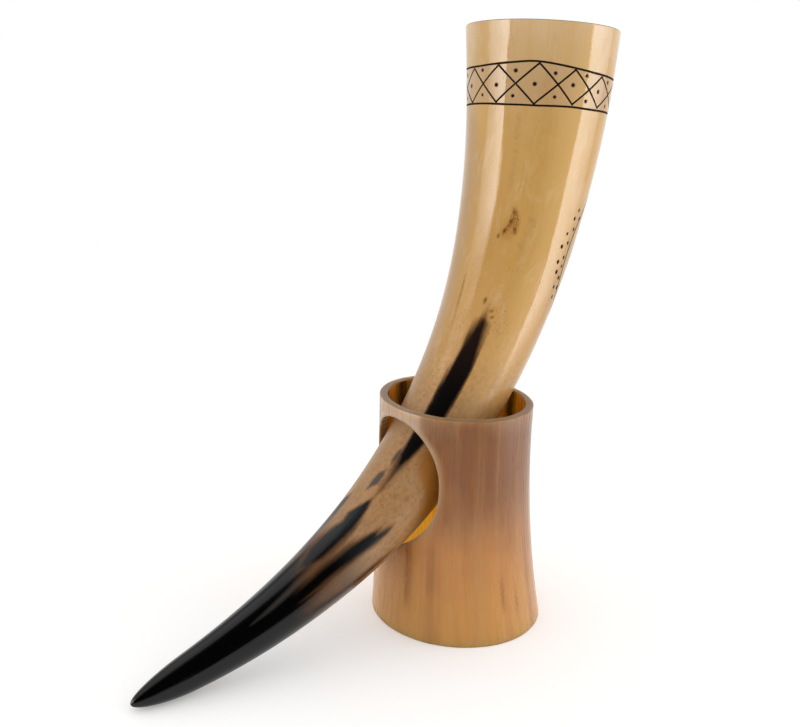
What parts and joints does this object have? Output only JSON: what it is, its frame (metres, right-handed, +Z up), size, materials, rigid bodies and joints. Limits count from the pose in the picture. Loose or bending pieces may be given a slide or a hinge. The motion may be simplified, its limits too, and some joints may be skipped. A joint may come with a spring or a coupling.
{
  "type": "drinking horn",
  "caption": "Curved, hollow horn cup with a solid tip, standing in a flared horn tube with an oval side window. The horn draws out of the stand along its own curve.",
  "frame": {"origin": "on the table, at the middle of the object's box seen from above", "axes": "+X from the tip to the mouth in the plane of the horn's curve, +Y across that plane, +Z up"},
  "size_m": [0.243, 0.0816, 0.2742],
  "materials": {
    "polished_horn": "polished cattle horn, cream to tan with a black tip",
    "brown_horn": "satin brown horn, slightly translucent"
  },
  "bodies": {
    "stand": {"horn_stand": "brown_horn"},
    "horn": {"drinking_horn": "polished_horn"}
  },
  "joints": [
    {"name": "horn_lift", "type": "hinge", "parent": "stand", "child": "horn", "pos_m": [-0.15707, 0.00376, 0.24274], "axis": [0, -1, 0], "range_deg": [0, 52]}
  ]
}
